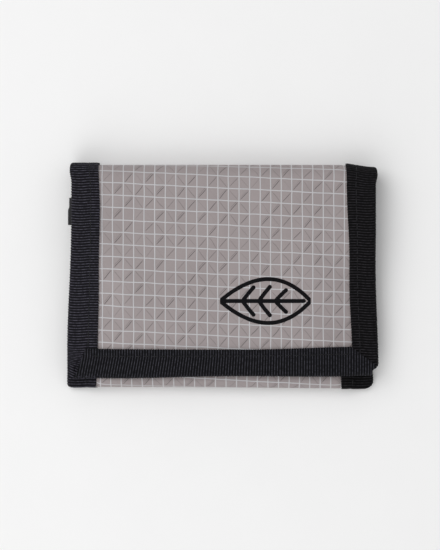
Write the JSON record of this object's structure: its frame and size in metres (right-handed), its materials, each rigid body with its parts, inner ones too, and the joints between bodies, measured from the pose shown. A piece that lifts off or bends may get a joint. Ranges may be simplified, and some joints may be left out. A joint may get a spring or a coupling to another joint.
{
  "type": "bifold wallet",
  "caption": "Fabric wallet with a cover flap that folds over a rolled spine onto a note compartment and a zipped coin pocket, edges bound in woven tape.",
  "frame": {"origin": "middle of the closed wallet's footprint, on the surface it rests on", "axes": "+X across the wallet to the right of the cover, +Y up to the spine, +Z out of the cover"},
  "size_m": [0.1254, 0.091, 0.0132],
  "materials": {
    "ripstop": "laminated ripstop, satin",
    "lining": "plain nylon lining, matt",
    "edge_tape": "ribbed woven tape, matt",
    "webbing": "woven webbing, matt",
    "hook_tape": "hook fastener, matt",
    "loop_tape": "loop fastener, brushed",
    "zip_cloth": "woven zip tape, matt",
    "zip_teeth": "moulded plastic, satin",
    "zip_metal": "plated die casting, satin",
    "print_ink": "printed ink, satin"
  },
  "bodies": {
    "base": {"back_panel": "ripstop", "back_lining": "lining", "bottom_fold": "ripstop", "front_panel": "ripstop", "zip_top_panel": "ripstop", "pocket_divider": "lining", "mouth_binding": "edge_tape", "zip_tape_lower": "zip_cloth", "zip_tape_upper": "zip_cloth", "zip_teeth_lower": "zip_teeth", "zip_teeth_upper": "zip_teeth", "zip_stops": "zip_metal", "loop_strip": "loop_tape", "base_binding_left": "edge_tape", "base_binding_right": "edge_tape"},
    "spine": {"spine_panel": "ripstop", "spine_lining": "lining", "spine_binding_left": "edge_tape", "spine_binding_right": "edge_tape"},
    "cover": {"flap_panel": "ripstop", "flap_lining": "lining", "flap_binding_left": "edge_tape", "flap_binding_right": "edge_tape", "flap_binding_bottom": "edge_tape", "card_slot_1": "lining", "card_slot_2": "lining", "card_slot_3": "lining", "hook_strip": "hook_tape", "emblem": "print_ink"},
    "slider": {"zip_slider": "zip_metal"},
    "puller": {"zip_puller": "zip_metal"},
    "key_loop": {"key_loop": "webbing"}
  },
  "joints": [
    {"name": "spine_fold", "type": "hinge", "parent": "base", "child": "spine", "pos_m": [0, 0.04346, 0.00204], "axis": [-1, 0, 0], "range_deg": [0, 90]},
    {"name": "cover_fold", "type": "hinge", "parent": "spine", "child": "cover", "pos_m": [0, 0.04346, 0.01115], "axis": [-1, 0, 0], "range_deg": [0, 90]},
    {"name": "zip_slide", "type": "slide", "parent": "base", "child": "slider", "axis": [-1, 0, 0], "range_m": [0, 0.076], "deforming": ["zip_teeth_lower", "zip_teeth_upper"]},
    {"name": "puller_swing", "type": "hinge", "parent": "slider", "child": "puller", "pos_m": [0.0392, 0.031, 0.00977], "axis": [0, 1, 0], "range_deg": [0, 6]},
    {"name": "key_loop_swing", "type": "hinge", "parent": "base", "child": "key_loop", "pos_m": [-0.0516, 0.0258, 0.0079], "axis": [0, 1, 0], "range_deg": [0, 12]}
  ],
  "couplings": [
    {"joint": "cover_fold", "follows": "spine_fold", "ratio": 1}
  ]
}
